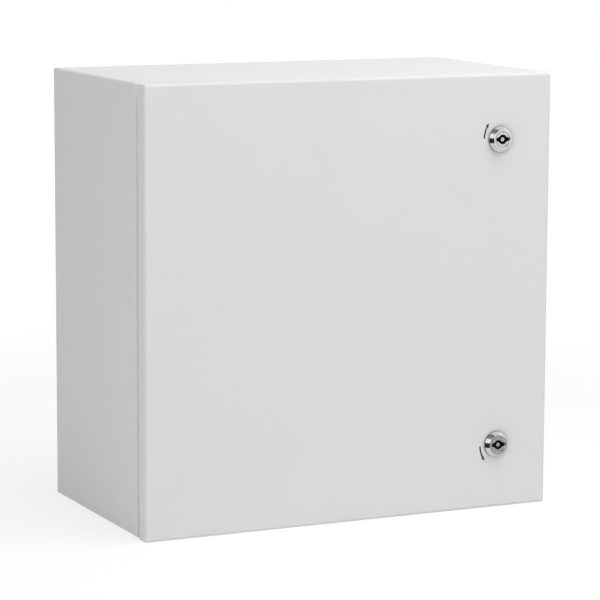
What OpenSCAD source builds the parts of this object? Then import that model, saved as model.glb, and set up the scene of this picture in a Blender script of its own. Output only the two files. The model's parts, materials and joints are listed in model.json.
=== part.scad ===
// Steel wall enclosure with a full-face door on concealed hinges and two
// double-bit quarter-turn locks, built as separate pieces.
//
// Part frame, millimetres: the origin is the centre of the four wall-fixing
// holes on the rear outer face, +X is to the right of someone facing the door,
// +Z is up and the door faces -Y. Pieces are drawn lying on their back, with x
// to the right, y up the enclosure and z out of the wall, and part_frame()
// stands them up.

/* [Case] */
// Width of the case
case_w = 500; // [420:10:700]
// Height of the case
case_h = 500; // [420:10:700]
// Depth of the case behind the door gap
case_d = 250; // [150:5:400]
// Thickness of the case sheet
case_sheet = 1.5; // [1.2:0.1:2]
// Outer radius of the case folds
fold_r = 3.5; // [3:0.1:4.5]
// Width of the flange that folds in round the rear panel
rear_flange = 15; // [12:1:18]
// Width of the flange that folds in round the front frame
front_flange = 12; // [9:0.5:14]
// Corner radius of the rear panel and of the front frame
panel_corner_r = 6; // [3:1:10]

/* [Sealing lip] */
// Width of the rain channel, from the case side to the lip
channel_w = 26; // [25.5:0.5:28]
// Height of the lip in front of the channel floor
lip_h = 20; // [19:0.5:21]
// Radius of the lip where it turns a corner
lip_corner_r = 12; // [10:1:18]

/* [Wall fixing] */
// Distance from the case side to a wall-fixing hole
wall_hole_inset = 30; // [24:1:32]
// Diameter of a wall-fixing hole
wall_hole_d = 9; // [7:0.5:10]

/* [Door] */
// Depth of the door tray, front face to rear edge
door_d = 19; // [18.5:0.5:24]
// Gap between the case front and the door's rear edge
door_gap = 8; // [6.5:0.5:9]
// Thickness of the door sheet
door_sheet = 1.5; // [1.2:0.1:2]
// Outer radius of the folds round the door face
door_fold_r = 3.5; // [2.5:0.1:5]
// Outer radius of the welded and ground corners between two flanges
door_corner_r = 0.8; // [0.5:0.1:2]

/* [Door gasket] */
// Width of the foamed strip
gasket_w = 14; // [10:0.5:15]
// Height of the strip's rounded crest
gasket_crest = 3; // [2:0.5:4]
// Gap between the crest and the lip with the door shut
gasket_gap = 0.3; // [0.2:0.05:0.5]

/* [Door rails] */
// Distance from the case side to a rail's centre line
rail_inset = 104; // [102:1:130]
// Distance from the case top and bottom to a rail's ends
rail_end = 60; // [50:5:90]
// Width of the perforated web
rail_web = 20; // [16:1:22]
// Width of each welded foot
rail_foot = 7; // [6:0.5:8]
// Height of the rail off the door
rail_h = 14; // [10:1:16]
// Thickness of the rail sheet
rail_t = 1.2; // [1:0.1:1.5]
// Distance between rail holes
rail_pitch = 25; // [20:5:50]
// Diameter of a rail hole
rail_hole_d = 6.5; // [4:0.5:8]

/* [Hinges] */
// Distance from the case top or bottom to the middle of a hinge
hinge_inset = 75; // [60:5:110]
// Distance from the case side to the hinge axis
hinge_in = 8.5; // [8:0.1:9]
// Distance from the channel floor to the hinge axis
hinge_out = 14.6; // [14.2:0.1:15.2]
// Diameter of the hinge pin
pin_d = 5; // [4:0.5:6]
// Radial clearance of the pin in the door's knuckles
pin_clear = 0.05; // [0.02:0.01:0.1]
// Thickness of the rolled hinge strip
strip_t = 2.5; // [2:0.1:2.5]
// Length of the case bracket's knuckle
case_knuckle_l = 16; // [12:1:20]
// Length of each of the door leaf's two knuckles
door_knuckle_l = 10; // [8:1:14]
// Gap between neighbouring knuckles
knuckle_gap = 0.3; // [0.2:0.1:0.5]
// Length of the bracket along the lip
bracket_l = 44; // [38:1:60]
// Length of the leaf's foot on the door
leaf_l = 62; // [60:1:80]
// Distance from the middle of a hinge to a leaf stud
leaf_stud_pitch = 24.5; // [24:0.5:26]

/* [Locks] */
// Distance from the case side to a lock axis
lock_inset_x = 65.5; // [64:0.5:66]
// Distance from the case top or bottom to a lock axis
lock_inset_y = 74; // [74:1:120]
// Diameter of the bezel
bezel_d = 31; // [29:0.5:34]
// Height of the bezel above the door
bezel_h = 6.6; // [6:0.1:8]
// Height of the bezel's straight rim above its seal
bezel_rim_h = 0.8; // [0.5:0.1:1.5]
// Radius of the flat land round the rotor
bezel_land_r = 11.3; // [10.8:0.1:12]
// Radius of the crowned flank between the rim and the land
bezel_crown_r = 16; // [12:1:40]
// Diameter of the threaded barrel
barrel_d = 22; // [21:0.5:23]
// Width of the barrel across its two flats
barrel_flats = 20; // [19:0.5:20.5]
// Length of the barrel behind the door face
barrel_l = 20; // [18:0.5:22]
// Thickness of the seal under the bezel
seal_t = 0.8; // [0.6:0.1:1]
// Width across the flats of the fixing nut
lock_nut_af = 27; // [25:0.5:28]
// Thickness of the fixing nut
lock_nut_t = 6; // [4:0.5:8]

/* [Lock rotors] */
// Diameter of the rotor head
rotor_head_d = 17.6; // [17:0.1:18]
// Depth of the rotor face below the bezel's land
rotor_sink = 0.5; // [0.2:0.1:1]
// Diameter of the rotor shaft
rotor_shaft_d = 14; // [12:0.5:15]
// Radial clearance of the rotor in its housing
rotor_clear = 0.05; // [0.02:0.01:0.1]
// Diameter of the double-bit recess round the pin
bit_d = 10.2; // [9:0.1:11]
// Length over both wings of the recess
bit_span = 16.4; // [15:0.1:16.6]
// Width of a wing at its tip
bit_tip_w = 3.4; // [2.5:0.1:4]
// Depth of the recess
bit_depth = 7; // [5:0.5:8]
// Diameter of the pin in the recess
bit_pin_d = 4.7; // [3:0.1:5]
// Side of the square that drives the cam
drive_side = 8; // [7:0.5:9]

/* [Cams] */
// Reach of a cam from the lock axis
cam_reach = 46; // [44:0.5:46]
// Thickness of a cam
cam_t = 3; // [2.5:0.1:4]
// Radius of the cam's eye
cam_eye_r = 11; // [10:0.5:12]
// Width of the cam's tongue
cam_w = 16; // [14:1:18]
// Gap between a latched cam and the case behind the lip
latch_gap = 0.3; // [0.2:0.05:0.6]

/* [Mounting plate] */
// Margin between the case side and the mounting plate
plate_margin = 40; // [38:1:60]
// Thickness of the mounting plate
plate_t = 2; // [1.5:0.1:3]
// Distance from the rear panel to the plate
plate_standoff = 14; // [10:1:25]
// Distance from the plate's edge to its stud holes
plate_stud_inset = 20; // [15:1:30]
// Corner radius of the plate
plate_corner_r = 5; // [3:1:10]
// Diameter of a stud's round base on the rear panel
stud_base_d = 22; // [18:1:24]
// Thickness of that base
stud_base_t = 2; // [1:0.5:3]
// Diameter of the collar that the plate rests on
stud_collar_d = 14; // [12:0.5:16]

/* [Gland plate] */
// Width of the cable opening in the case bottom
gland_w = 300; // [200:10:320]
// Depth of the cable opening in the case bottom
gland_d = 100; // [50:5:110]
// Distance from the wall to the middle of the opening
gland_at = 120; // [85:5:125]
// Margin of the gland plate round the opening
gland_margin = 20; // [18:1:24]
// Thickness of the gland plate
gland_t = 2; // [1.5:0.1:3]
// Thickness of the gland plate's gasket
gland_gasket_t = 3; // [2:0.5:4]
// Corner radius of the cable opening
gland_opening_r = 8; // [4:1:15]
// Corner radius of the gland plate and its gasket
gland_corner_r = 6; // [3:1:10]
// Number of studs along each long side
gland_studs_n = 3; // [2:1:5]

/* [Earthing] */
// Height of the earth studs above the case bottom
earth_up = 60; // [50:5:100]
// Distance from the channel floor back to the case earth stud
earth_back = 50; // [40:5:60]
// Distance from the case side to the door earth stud
earth_in = 62; // [56:1:75]

/* [Hidden] */
$fn = 48;

// Two names for the two hinges and the two locks: above and below the middle.
UPPER = 1;
LOWER = -1;

paint = [0.84, 0.84, 0.85];
zinc = [0.72, 0.73, 0.74];
steel = [0.62, 0.63, 0.65];
chrome = [0.80, 0.80, 0.82];
rubber = [0.12, 0.12, 0.13];
foam = [0.22, 0.22, 0.23];
brass = [0.78, 0.62, 0.30];

// A cut runs past the faces that it opens by this much.
past = 1;
// Radial clearance of a nut, a washer or a plate on its stud.
thread_clear = 0.05;
hole_clear = 0.5;

// Depths from the wall.
channel_z = case_d;
door_rear = case_d + door_gap;
door_front = door_rear + door_d;
door_inside = door_front - door_sheet;

// The lip runs round a rounded rectangle, given at its channel face.
lip_w = case_w - 2 * channel_w;
lip_l = case_h - 2 * channel_w;
fold_in = fold_r - case_sheet;
gasket_h = door_inside - channel_z - lip_h - gasket_gap;

// Hinge, measured from its axis.
hinge_x = -case_w / 2 + hinge_in;
hinge_z = channel_z + hinge_out;
knuckle_r = pin_d / 2 + strip_t;
lip_face = channel_w - hinge_in;
skin_face = door_inside - hinge_z;
strip_fold_r = strip_t + 1;
door_knuckle_mid = case_knuckle_l / 2 + knuckle_gap + door_knuckle_l / 2;
door_knuckle_end = door_knuckle_mid + door_knuckle_l / 2;
// The leaf's foot stops short of the gasket.
leaf_gasket_gap = 1.5;
leaf_foot_end = channel_w + case_sheet / 2 - gasket_w / 2 - hinge_in - leaf_gasket_gap;
pin_head_d = pin_d + 2.5;
pin_head_t = 1.5;

// Lock, measured from the door's front face along the lock axis.
cam_gap = 0.5;
cam_front = -barrel_l - cam_gap;
tongue_front = case_d - case_sheet - latch_gap - door_front;
crank_drop = cam_front - tongue_front;
rotor_face = bezel_h - rotor_sink;
bit_floor_t = 3;
rotor_step = rotor_face - bit_depth - bit_floor_t;
head_bore_r = rotor_head_d / 2 + rotor_clear;
// End play of the rotor's head over the step that it turns on.
seat_clear = 0.1;
// The drive square stops short of the cam's rear face, so that the screw clamps the cam.
drive_short = 0.2;
cam_screw_l = 10;
cam_screw_head_t = 4;
// Space past the screw's tip in its hole.
tip_gap = 2;
// Step from the bezel's rim in to its seal.
seal_inset = 0.5;

// Fixings: [thread diameter, nut across flats, nut thickness, washer diameter, washer
// thickness, length of a stud past its nut].
M5 = [5, 8, 4, 10, 1, 3];
M6 = [6, 10, 5, 12, 1.6, 4];
M8 = [8, 13, 6.5, 18, 1.6, 4];

// ---------------------------------------------------------------- helpers

module part_frame() {
  rotate([90, 0, 0]) children();
}

// Centred rectangle with round corners, or sharp ones where the radius is used up.
module rounded_rect(w, h, r) {
  if (r > 0) {
    square([w - 2 * r, h], center = true);
    square([w, h - 2 * r], center = true);
    for (sx = [-1, 1], sy = [-1, 1]) {
      translate([sx * (w / 2 - r), sy * (h / 2 - r)]) circle(r);
    }
  } else {
    square([w, h], center = true);
  }
}

// Block standing on z = 0: side_r rounds its upright edges, edge_r its front
// edges, and its rear edges too where rear_round is true.
module rounded_block(w, h, d, side_r, edge_r, rear_round) {
  profile_d = rear_round ? d : 2 * d;
  intersection() {
    linear_extrude(d) rounded_rect(w, h, side_r);
    translate([0, 0, d - profile_d / 2]) along_y(h) rounded_rect(w, profile_d, edge_r);
    translate([0, 0, d - profile_d / 2]) along_x(w) rounded_rect(h, profile_d, edge_r);
  }
}

// Extrudes a profile drawn in x and z along y, centred.
module along_y(l) {
  translate([0, l / 2, 0]) rotate([90, 0, 0]) linear_extrude(l) children();
}

// Extrudes a profile drawn in y and z along x, centred.
module along_x(l) {
  translate([-l / 2, 0, 0]) rotate([90, 0, 90]) linear_extrude(l) children();
}

// Runs a profile round a rounded rectangle: its x points outwards, its y along z.
module frame_sweep(w, h, r) {
  for (turn = [0:3]) {
    across = turn % 2 == 0 ? w : h;
    along = turn % 2 == 0 ? h : w;
    rotate(90 * turn) {
      translate([across / 2, 0, 0]) along_y(along - 2 * r) children();
      translate([across / 2 - r, along / 2 - r, 0]) {
        rotate_extrude(angle = 90) translate([r, 0]) children();
      }
    }
  }
}

// The four corners of a rectangle.
module corners(w, h) {
  for (sx = [-1, 1], sy = [-1, 1]) {
    translate([sx * w / 2, sy * h / 2, 0]) children();
  }
}

// Quarter of a tube's section: a sheet's fold, between the -x and -y directions.
module fold_profile(outer_r, t) {
  intersection() {
    difference() {
      circle(outer_r);
      circle(outer_r - t);
    }
    translate([-outer_r, -outer_r]) square(outer_r);
  }
}

module ring(outer_d, inner_d, t) {
  difference() {
    cylinder(d = outer_d, h = t);
    translate([0, 0, -past]) cylinder(d = inner_d, h = t + 2 * past);
  }
}

// Weld stud standing on z = 0 with a collar that the clamped part rests on.
module weld_stud(fixing, collar_d, collar_h, l) {
  cylinder(d = collar_d, h = collar_h);
  cylinder(d = fixing[0], h = l);
}

module nut(fixing) {
  hex_nut(fixing[1], fixing[0], fixing[2]);
}

module hex_nut(af, thread_d, t) {
  difference() {
    cylinder(d = af / cos(30), h = t, $fn = 6);
    translate([0, 0, -past]) cylinder(d = thread_d + 2 * thread_clear, h = t + 2 * past);
  }
}

module washer(fixing) {
  ring(fixing[3], fixing[0] + 2 * thread_clear, fixing[4]);
}

// ---------------------------------------------------------------- case

// The wrap of the case: four walls with a flange folded in at each end.
module case_shell() {
  color(paint) part_frame() difference() {
    rounded_block(case_w, case_h, case_d, fold_r, fold_r, true);
    translate([0, 0, case_sheet]) {
      rounded_block(case_w - 2 * case_sheet, case_h - 2 * case_sheet, case_d - 2 * case_sheet,
                    fold_in, fold_in, true);
    }
    translate([0, 0, case_d - case_sheet - past]) linear_extrude(case_sheet + 2 * past) {
      panel_outline(front_flange);
    }
    translate([0, 0, -past]) linear_extrude(case_sheet + 2 * past) panel_outline(rear_flange);
    at_gland() translate([0, 0, -case_sheet - past]) linear_extrude(case_sheet + 2 * past) {
      gland_opening();
    }
  }
}

// What fills the end of the wrap between its flanges.
module panel_outline(flange) {
  rounded_rect(case_w - 2 * flange, case_h - 2 * flange, panel_corner_r);
}

// Rolled frame, butted and welded to the wrap's front flange: the floor of the
// rain channel and the sealing lip that stands on it.
module front_frame() {
  color(paint) part_frame() translate([0, 0, channel_z]) {
    translate([0, 0, -case_sheet]) linear_extrude(case_sheet) difference() {
      panel_outline(front_flange);
      rounded_rect(lip_w + 2 * fold_in, lip_l + 2 * fold_in, lip_corner_r + fold_in);
    }
    frame_sweep(lip_w, lip_l, lip_corner_r) lip_profile();
  }
}

// The lip folds forward out of the channel floor.
module lip_profile() {
  translate([fold_in, fold_in]) fold_profile(fold_r, case_sheet);
  translate([-case_sheet, fold_in]) square([case_sheet, lip_h - fold_in]);
}

// Rear panel, welded into the case's rear flange, with the wall-fixing holes.
module rear_panel() {
  color(paint) part_frame() difference() {
    linear_extrude(case_sheet) panel_outline(rear_flange);
    corners(case_w - 2 * wall_hole_inset, case_h - 2 * wall_hole_inset) {
      translate([0, 0, -past]) cylinder(d = wall_hole_d, h = case_sheet + 2 * past);
    }
  }
}

// ---------------------------------------------------------------- mounting plate

plate_z = case_sheet + plate_standoff;
plate_w = case_w - 2 * plate_margin;
plate_h = case_h - 2 * plate_margin;

module at_plate_studs() {
  corners(plate_w - 2 * plate_stud_inset, plate_h - 2 * plate_stud_inset) children();
}

module mounting_plate() {
  color(zinc) part_frame() translate([0, 0, plate_z]) difference() {
    linear_extrude(plate_t) rounded_rect(plate_w, plate_h, plate_corner_r);
    at_plate_studs() translate([0, 0, -past]) {
      cylinder(d = M8[0] + 2 * hole_clear, h = plate_t + 2 * past);
    }
  }
}

module mounting_plate_studs() {
  color(steel) part_frame() at_plate_studs() translate([0, 0, case_sheet]) {
    cylinder(d = stud_base_d, h = stud_base_t);
    weld_stud(M8, stud_collar_d, plate_standoff, plate_standoff + plate_t + M8[4] + M8[2] + M8[5]);
  }
}

module mounting_plate_washers() {
  color(zinc) part_frame() at_plate_studs() translate([0, 0, plate_z + plate_t]) washer(M8);
}

module mounting_plate_nuts() {
  color(zinc) part_frame() at_plate_studs() translate([0, 0, plate_z + plate_t + M8[4]]) nut(M8);
}

// ---------------------------------------------------------------- gland plate

// Stands on the inner face of the case bottom, over the cable opening.
module at_gland() {
  translate([0, -case_h / 2 + case_sheet, gland_at]) rotate([-90, 0, 0]) children();
}

module at_gland_studs() {
  span = gland_w + gland_margin;
  for (side = [-1, 1], i = [0 : gland_studs_n - 1]) {
    translate([span * (i / (gland_studs_n - 1) - 0.5), side * (gland_d + gland_margin) / 2, 0]) children();
  }
}

module gland_opening() {
  rounded_rect(gland_w, gland_d, gland_opening_r);
}

module gland_outline() {
  rounded_rect(gland_w + 2 * gland_margin, gland_d + 2 * gland_margin, gland_corner_r);
}

module gland_stud_holes(t) {
  at_gland_studs() translate([0, 0, -past]) cylinder(d = M6[0] + 2 * hole_clear, h = t + 2 * past);
}

module gland_plate() {
  color(paint) part_frame() at_gland() translate([0, 0, gland_gasket_t]) difference() {
    linear_extrude(gland_t) gland_outline();
    gland_stud_holes(gland_t);
  }
}

module gland_plate_gasket() {
  color(foam) part_frame() at_gland() difference() {
    linear_extrude(gland_gasket_t) gland_outline();
    translate([0, 0, -past]) linear_extrude(gland_gasket_t + 2 * past) gland_opening();
    gland_stud_holes(gland_gasket_t);
  }
}

module gland_plate_studs() {
  color(steel) part_frame() at_gland() at_gland_studs() {
    cylinder(d = M6[0], h = gland_gasket_t + gland_t + M6[2] + M6[5]);
  }
}

// Flange nuts, one on each stud.
module gland_plate_nuts() {
  color(zinc) part_frame() at_gland() at_gland_studs() translate([0, 0, gland_gasket_t + gland_t]) {
    nut(M6);
    ring(M6[3], M6[0] + 2 * thread_clear, M6[4]);
  }
}

// ---------------------------------------------------------------- earthing

earth_collar_d = 12;
earth_collar_t = 3;
earth_stud_l = 18;

// On the inner face of the case side next to the hinges, near the door.
module at_case_earth() {
  translate([-case_w / 2 + case_sheet, -case_h / 2 + earth_up, case_d - earth_back]) {
    rotate([0, 90, 0]) children();
  }
}

module case_earth_stud() {
  color(brass) part_frame() at_case_earth() weld_stud(M6, earth_collar_d, earth_collar_t, earth_stud_l);
}

module case_earth_washer() {
  color(zinc) part_frame() at_case_earth() translate([0, 0, earth_collar_t]) washer(M6);
}

module case_earth_nut() {
  color(zinc) part_frame() at_case_earth() translate([0, 0, earth_collar_t + M6[4]]) nut(M6);
}

// On the inside of the door, inboard of the gasket.
module at_door_earth() {
  translate([-case_w / 2 + earth_in, -case_h / 2 + earth_up, door_inside]) {
    rotate([180, 0, 0]) children();
  }
}

module door_earth_stud() {
  color(brass) part_frame() at_door_earth() weld_stud(M6, earth_collar_d, earth_collar_t, earth_stud_l);
}

module door_earth_washer() {
  color(zinc) part_frame() at_door_earth() translate([0, 0, earth_collar_t]) washer(M6);
}

module door_earth_nut() {
  color(zinc) part_frame() at_door_earth() translate([0, 0, earth_collar_t + M6[4]]) nut(M6);
}

// ---------------------------------------------------------------- hinges

module at_hinge(side) {
  translate([hinge_x, side * (case_h / 2 - hinge_inset), hinge_z]) children();
}

// The bracket's strip: rolled round the pin, across the channel clear of the
// door's swinging edge, then down the lip that it is welded to.
module bracket_profile() {
  difference() {
    circle(knuckle_r);
    circle(pin_d / 2);
  }
  translate([0, knuckle_r - strip_t]) square([lip_face - strip_fold_r, strip_t]);
  translate([lip_face - strip_fold_r, knuckle_r - strip_fold_r]) {
    rotate(180) fold_profile(strip_fold_r, strip_t);
  }
  bracket_leg(knuckle_r - strip_fold_r);
}

// The leg stops above the fold at the foot of the lip.
module bracket_leg(top) {
  bottom = -hinge_out + fold_in;
  translate([lip_face - strip_t, bottom]) square([strip_t, top - bottom]);
}

module hinge_case_bracket(side) {
  color(zinc) part_frame() at_hinge(side) {
    along_y(case_knuckle_l) bracket_profile();
    along_y(bracket_l) bracket_leg(-knuckle_r / 2);
  }
}

module upper_hinge_case_bracket() { hinge_case_bracket(UPPER); }
module lower_hinge_case_bracket() { hinge_case_bracket(LOWER); }

// The pin is held in the bracket's knuckle and carries the leaf's two.
module hinge_pin(side) {
  color(steel) part_frame() at_hinge(side) rotate([-90, 0, 0]) {
    translate([0, 0, -door_knuckle_end]) cylinder(d = pin_d, h = 2 * door_knuckle_end + knuckle_gap);
    translate([0, 0, door_knuckle_end + knuckle_gap]) cylinder(d = pin_head_d, h = pin_head_t);
  }
}

module upper_hinge_pin() { hinge_pin(UPPER); }
module lower_hinge_pin() { hinge_pin(LOWER); }

// The leaf's strip: rolled round the pin, forward behind the door's flange and
// along the inside of the door face.
module leaf_profile() {
  difference() {
    circle(knuckle_r);
    circle(pin_d / 2 + pin_clear);
  }
  translate([-knuckle_r, 0]) square([strip_t, skin_face - strip_fold_r]);
  translate([-knuckle_r + strip_fold_r, skin_face - strip_fold_r]) {
    rotate(-90) fold_profile(strip_fold_r, strip_t);
  }
  leaf_foot();
}

module leaf_foot() {
  start = -knuckle_r + strip_fold_r;
  translate([start, skin_face - strip_t]) square([leaf_foot_end - start, strip_t]);
}

module at_leaf_studs() {
  mid = (-knuckle_r + strip_fold_r + leaf_foot_end) / 2;
  for (end = [-1, 1]) {
    translate([mid, end * leaf_stud_pitch, skin_face]) rotate([180, 0, 0]) children();
  }
}

module hinge_door_leaf(side) {
  color(zinc) part_frame() at_hinge(side) difference() {
    union() {
      for (end = [-1, 1]) {
        translate([0, end * door_knuckle_mid, 0]) along_y(door_knuckle_l) leaf_profile();
      }
      difference() {
        along_y(2 * door_knuckle_end) leaf_profile();
        cube([4 * knuckle_r, case_knuckle_l + 2 * knuckle_gap, 3 * knuckle_r], center = true);
      }
      along_y(leaf_l) leaf_foot();
    }
    at_leaf_studs() translate([0, 0, -past]) cylinder(d = M5[0] + 2 * hole_clear, h = strip_t + 2 * past);
  }
}

module upper_hinge_door_leaf() { hinge_door_leaf(UPPER); }
module lower_hinge_door_leaf() { hinge_door_leaf(LOWER); }

module door_hinge_studs() {
  color(steel) part_frame() for (side = [UPPER, LOWER]) at_hinge(side) at_leaf_studs() {
    cylinder(d = M5[0], h = strip_t + M5[2] + M5[5]);
  }
}

module door_hinge_nuts() {
  color(zinc) part_frame() for (side = [UPPER, LOWER]) at_hinge(side) at_leaf_studs() {
    translate([0, 0, strip_t]) nut(M5);
  }
}

// ---------------------------------------------------------------- door

// Folded tray with a hole for each lock barrel.
module door_panel() {
  color(paint) part_frame() difference() {
    translate([0, 0, door_rear]) difference() {
      rounded_block(case_w, case_h, door_d, door_corner_r, door_fold_r, false);
      translate([0, 0, -past]) {
        rounded_block(case_w - 2 * door_sheet, case_h - 2 * door_sheet, door_d - door_sheet + past,
                      0, door_fold_r - door_sheet, false);
      }
    }
    for (side = [UPPER, LOWER]) at_lock(side) translate([0, 0, -door_sheet - past]) {
      linear_extrude(door_sheet + 2 * past) barrel_outline(2 * thread_clear);
    }
  }
}

// Foamed-in-place strip: a flat base on the door with a rounded crest that
// meets the sealing lip.
module door_gasket() {
  path_w = lip_w - case_sheet;
  path_h = lip_l - case_sheet;
  color(foam) part_frame() translate([0, 0, door_inside]) {
    frame_sweep(path_w, path_h, lip_corner_r - case_sheet / 2) gasket_profile();
  }
}

module gasket_profile() {
  base_h = gasket_h - gasket_crest;
  crest_r = (pow(gasket_w / 2, 2) + pow(gasket_crest, 2)) / (2 * gasket_crest);
  translate([-gasket_w / 2, -base_h]) square([gasket_w, base_h]);
  intersection() {
    translate([0, -gasket_h + crest_r]) circle(crest_r);
    translate([-gasket_w / 2, -gasket_h]) square([gasket_w, gasket_crest]);
  }
}

// Perforated hat-section rail, welded to the inside of the door.
module door_rail(side) {
  rail_l = case_h - 2 * rail_end;
  holes = floor((rail_l - rail_pitch) / rail_pitch) + 1;
  color(zinc) part_frame() translate([side * (case_w / 2 - rail_inset), 0, door_inside]) difference() {
    along_y(rail_l) rail_profile();
    for (i = [0 : holes - 1]) {
      translate([0, (i - (holes - 1) / 2) * rail_pitch, -rail_h - past]) {
        cylinder(d = rail_hole_d, h = rail_t + 2 * past);
      }
    }
  }
}

module rail_profile() {
  translate([-rail_web / 2, -rail_h]) square([rail_web, rail_t]);
  for (sx = [-1, 1]) {
    translate([sx * (rail_web - rail_t) / 2 - rail_t / 2, -rail_h]) square([rail_t, rail_h]);
    translate([sx * (rail_web + rail_foot - rail_t) / 2 - (rail_foot + rail_t) / 2, -rail_t]) {
      square([rail_foot + rail_t, rail_t]);
    }
  }
}

module hinge_side_door_rail() { door_rail(-1); }
module lock_side_door_rail() { door_rail(1); }

// ---------------------------------------------------------------- locks

// On the lock's axis, with z = 0 on the door's front face.
module at_lock(side) {
  translate([case_w / 2 - lock_inset_x, side * (case_h / 2 - lock_inset_y), door_front]) children();
}

// The barrel's section, a circle with two flats, grown by grow all round.
module barrel_outline(grow) {
  intersection() {
    circle(d = barrel_d + 2 * grow);
    square([barrel_flats + 2 * grow, barrel_d + 4 * grow], center = true);
  }
}

// Bezel and barrel in one casting, bored for the rotor.
module lock_housing(side) {
  color(chrome) part_frame() at_lock(side) difference() {
    union() {
      rotate_extrude() bezel_profile();
      translate([0, 0, -barrel_l]) linear_extrude(barrel_l + seal_t) barrel_outline(0);
    }
    translate([0, 0, rotor_step]) cylinder(r = head_bore_r, h = bezel_h - rotor_step + past);
    translate([0, 0, -barrel_l - past]) {
      cylinder(d = rotor_shaft_d + 2 * rotor_clear, h = barrel_l + bezel_h);
    }
    rotate_extrude() mouth_profile();
  }
}

// Half section of the bezel: a straight rim, a crowned flank and a flat land.
// The flank's arc passes through the rim's top and the land's edge.
module bezel_profile() {
  rim_top = seal_t + bezel_rim_h;
  run = bezel_d / 2 - bezel_land_r;
  rise = bezel_h - rim_top;
  chord = norm([run, rise]);
  back = sqrt(pow(bezel_crown_r, 2) - pow(chord / 2, 2)) / chord;
  centre_x = bezel_land_r + run / 2 - back * rise;
  centre_y = rim_top + rise / 2 - back * run;
  intersection() {
    translate([0, seal_t]) square([bezel_d / 2, bezel_h - seal_t]);
    translate([centre_x, centre_y]) circle(bezel_crown_r);
  }
}

// Chamfer at the mouth of the rotor's bore.
module mouth_profile() {
  c = 0.5;
  polygon([[head_bore_r - past, bezel_h - c - past], [head_bore_r + c + past, bezel_h + past],
           [head_bore_r - past, bezel_h + past]]);
}

module upper_lock_housing() { lock_housing(UPPER); }
module lower_lock_housing() { lock_housing(LOWER); }

module lock_seal(side) {
  color(rubber) part_frame() at_lock(side) {
    ring(bezel_d - 2 * seal_inset, barrel_d + 2 * thread_clear, seal_t);
  }
}

module upper_lock_seal() { lock_seal(UPPER); }
module lower_lock_seal() { lock_seal(LOWER); }

module lock_nut(side) {
  color(zinc) part_frame() at_lock(side) translate([0, 0, -door_sheet - lock_nut_t]) {
    hex_nut(lock_nut_af, barrel_d, lock_nut_t);
  }
}

module upper_lock_nut() { lock_nut(UPPER); }
module lower_lock_nut() { lock_nut(LOWER); }

// Rotor: head with the double-bit recess and its pin, shaft, and the square
// that drives the cam, tapped for the cam screw.
module lock_rotor(side) {
  screw_hole = cam_screw_l - M6[4] + tip_gap;
  color(chrome) part_frame() at_lock(side) {
    difference() {
      union() {
        translate([0, 0, rotor_step + seat_clear]) rotate_extrude() rotor_head_profile();
        translate([0, 0, cam_front]) cylinder(d = rotor_shaft_d, h = rotor_step - cam_front + past);
        translate([0, 0, cam_front - cam_t + drive_short]) linear_extrude(cam_t) {
          square(drive_side, center = true);
        }
      }
      translate([0, 0, rotor_face - bit_depth]) linear_extrude(bit_depth + past) double_bit_outline();
      translate([0, 0, cam_front - cam_t - past]) cylinder(d = M6[0], h = screw_hole + past);
    }
    translate([0, 0, rotor_face - bit_depth]) cylinder(d = bit_pin_d, h = bit_depth - rotor_sink);
  }
}

module rotor_head_profile() {
  c = 0.4;
  h = rotor_face - rotor_step - seat_clear;
  r = rotor_head_d / 2;
  polygon([[0, 0], [r, 0], [r, h - c], [r - c, h], [0, h]]);
}

// Round recess with two wings that narrow towards their tips.
module double_bit_outline() {
  root_w = bit_tip_w + 2;
  circle(d = bit_d);
  for (wing = [-1, 1]) {
    polygon([[0, -root_w / 2], [wing * bit_d / 2, -root_w / 2], [wing * bit_span / 2, -bit_tip_w / 2],
             [wing * bit_span / 2, bit_tip_w / 2], [wing * bit_d / 2, root_w / 2], [0, root_w / 2]]);
  }
}

module upper_lock_rotor() { lock_rotor(UPPER); }
module lower_lock_rotor() { lock_rotor(LOWER); }

// Cranked cam, parked along the door edge towards the middle of the door. A
// quarter turn swings its tongue behind the channel floor.
module lock_cam(side) {
  color(zinc) part_frame() at_lock(side) rotate(-90 * side) difference() {
    intersection() {
      along_y(2 * cam_eye_r + past) cam_profile();
      translate([0, 0, tongue_front - cam_t - past]) linear_extrude(crank_drop + cam_t + 2 * past) {
        cam_outline();
      }
    }
    translate([0, 0, cam_front - cam_t - past]) linear_extrude(cam_t + 2 * past) {
      square(drive_side + 2 * thread_clear, center = true);
    }
  }
}

module cam_outline() {
  circle(cam_eye_r);
  translate([0, -cam_w / 2]) square([cam_reach - cam_w / 2, cam_w]);
  translate([cam_reach - cam_w / 2, 0]) circle(d = cam_w);
}

// Side view: eye, crank at 45 degrees, tongue.
module cam_profile() {
  bend = cam_eye_r + 1;
  back = cam_t * tan(22.5);
  polygon([[-cam_eye_r, cam_front], [bend, cam_front],
           [bend + crank_drop, tongue_front], [cam_reach, tongue_front],
           [cam_reach, tongue_front - cam_t], [bend + crank_drop - back, tongue_front - cam_t],
           [bend - back, cam_front - cam_t], [-cam_eye_r, cam_front - cam_t]]);
}

module upper_lock_cam() { lock_cam(UPPER); }
module lower_lock_cam() { lock_cam(LOWER); }

module cam_washer(side) {
  color(zinc) part_frame() at_lock(side) translate([0, 0, cam_front - cam_t - M6[4]]) washer(M6);
}

module upper_cam_washer() { cam_washer(UPPER); }
module lower_cam_washer() { cam_washer(LOWER); }

module cam_screw(side) {
  head_rear = cam_front - cam_t - M6[4] - cam_screw_head_t;
  color(steel) part_frame() at_lock(side) {
    translate([0, 0, head_rear]) cylinder(d = M6[1] / cos(30), h = cam_screw_head_t, $fn = 6);
    translate([0, 0, head_rear]) cylinder(d = M6[0] - 2 * thread_clear, h = cam_screw_head_t + cam_screw_l);
  }
}

module upper_cam_screw() { cam_screw(UPPER); }
module lower_cam_screw() { cam_screw(LOWER); }

// ---------------------------------------------------------------- pieces

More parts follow.
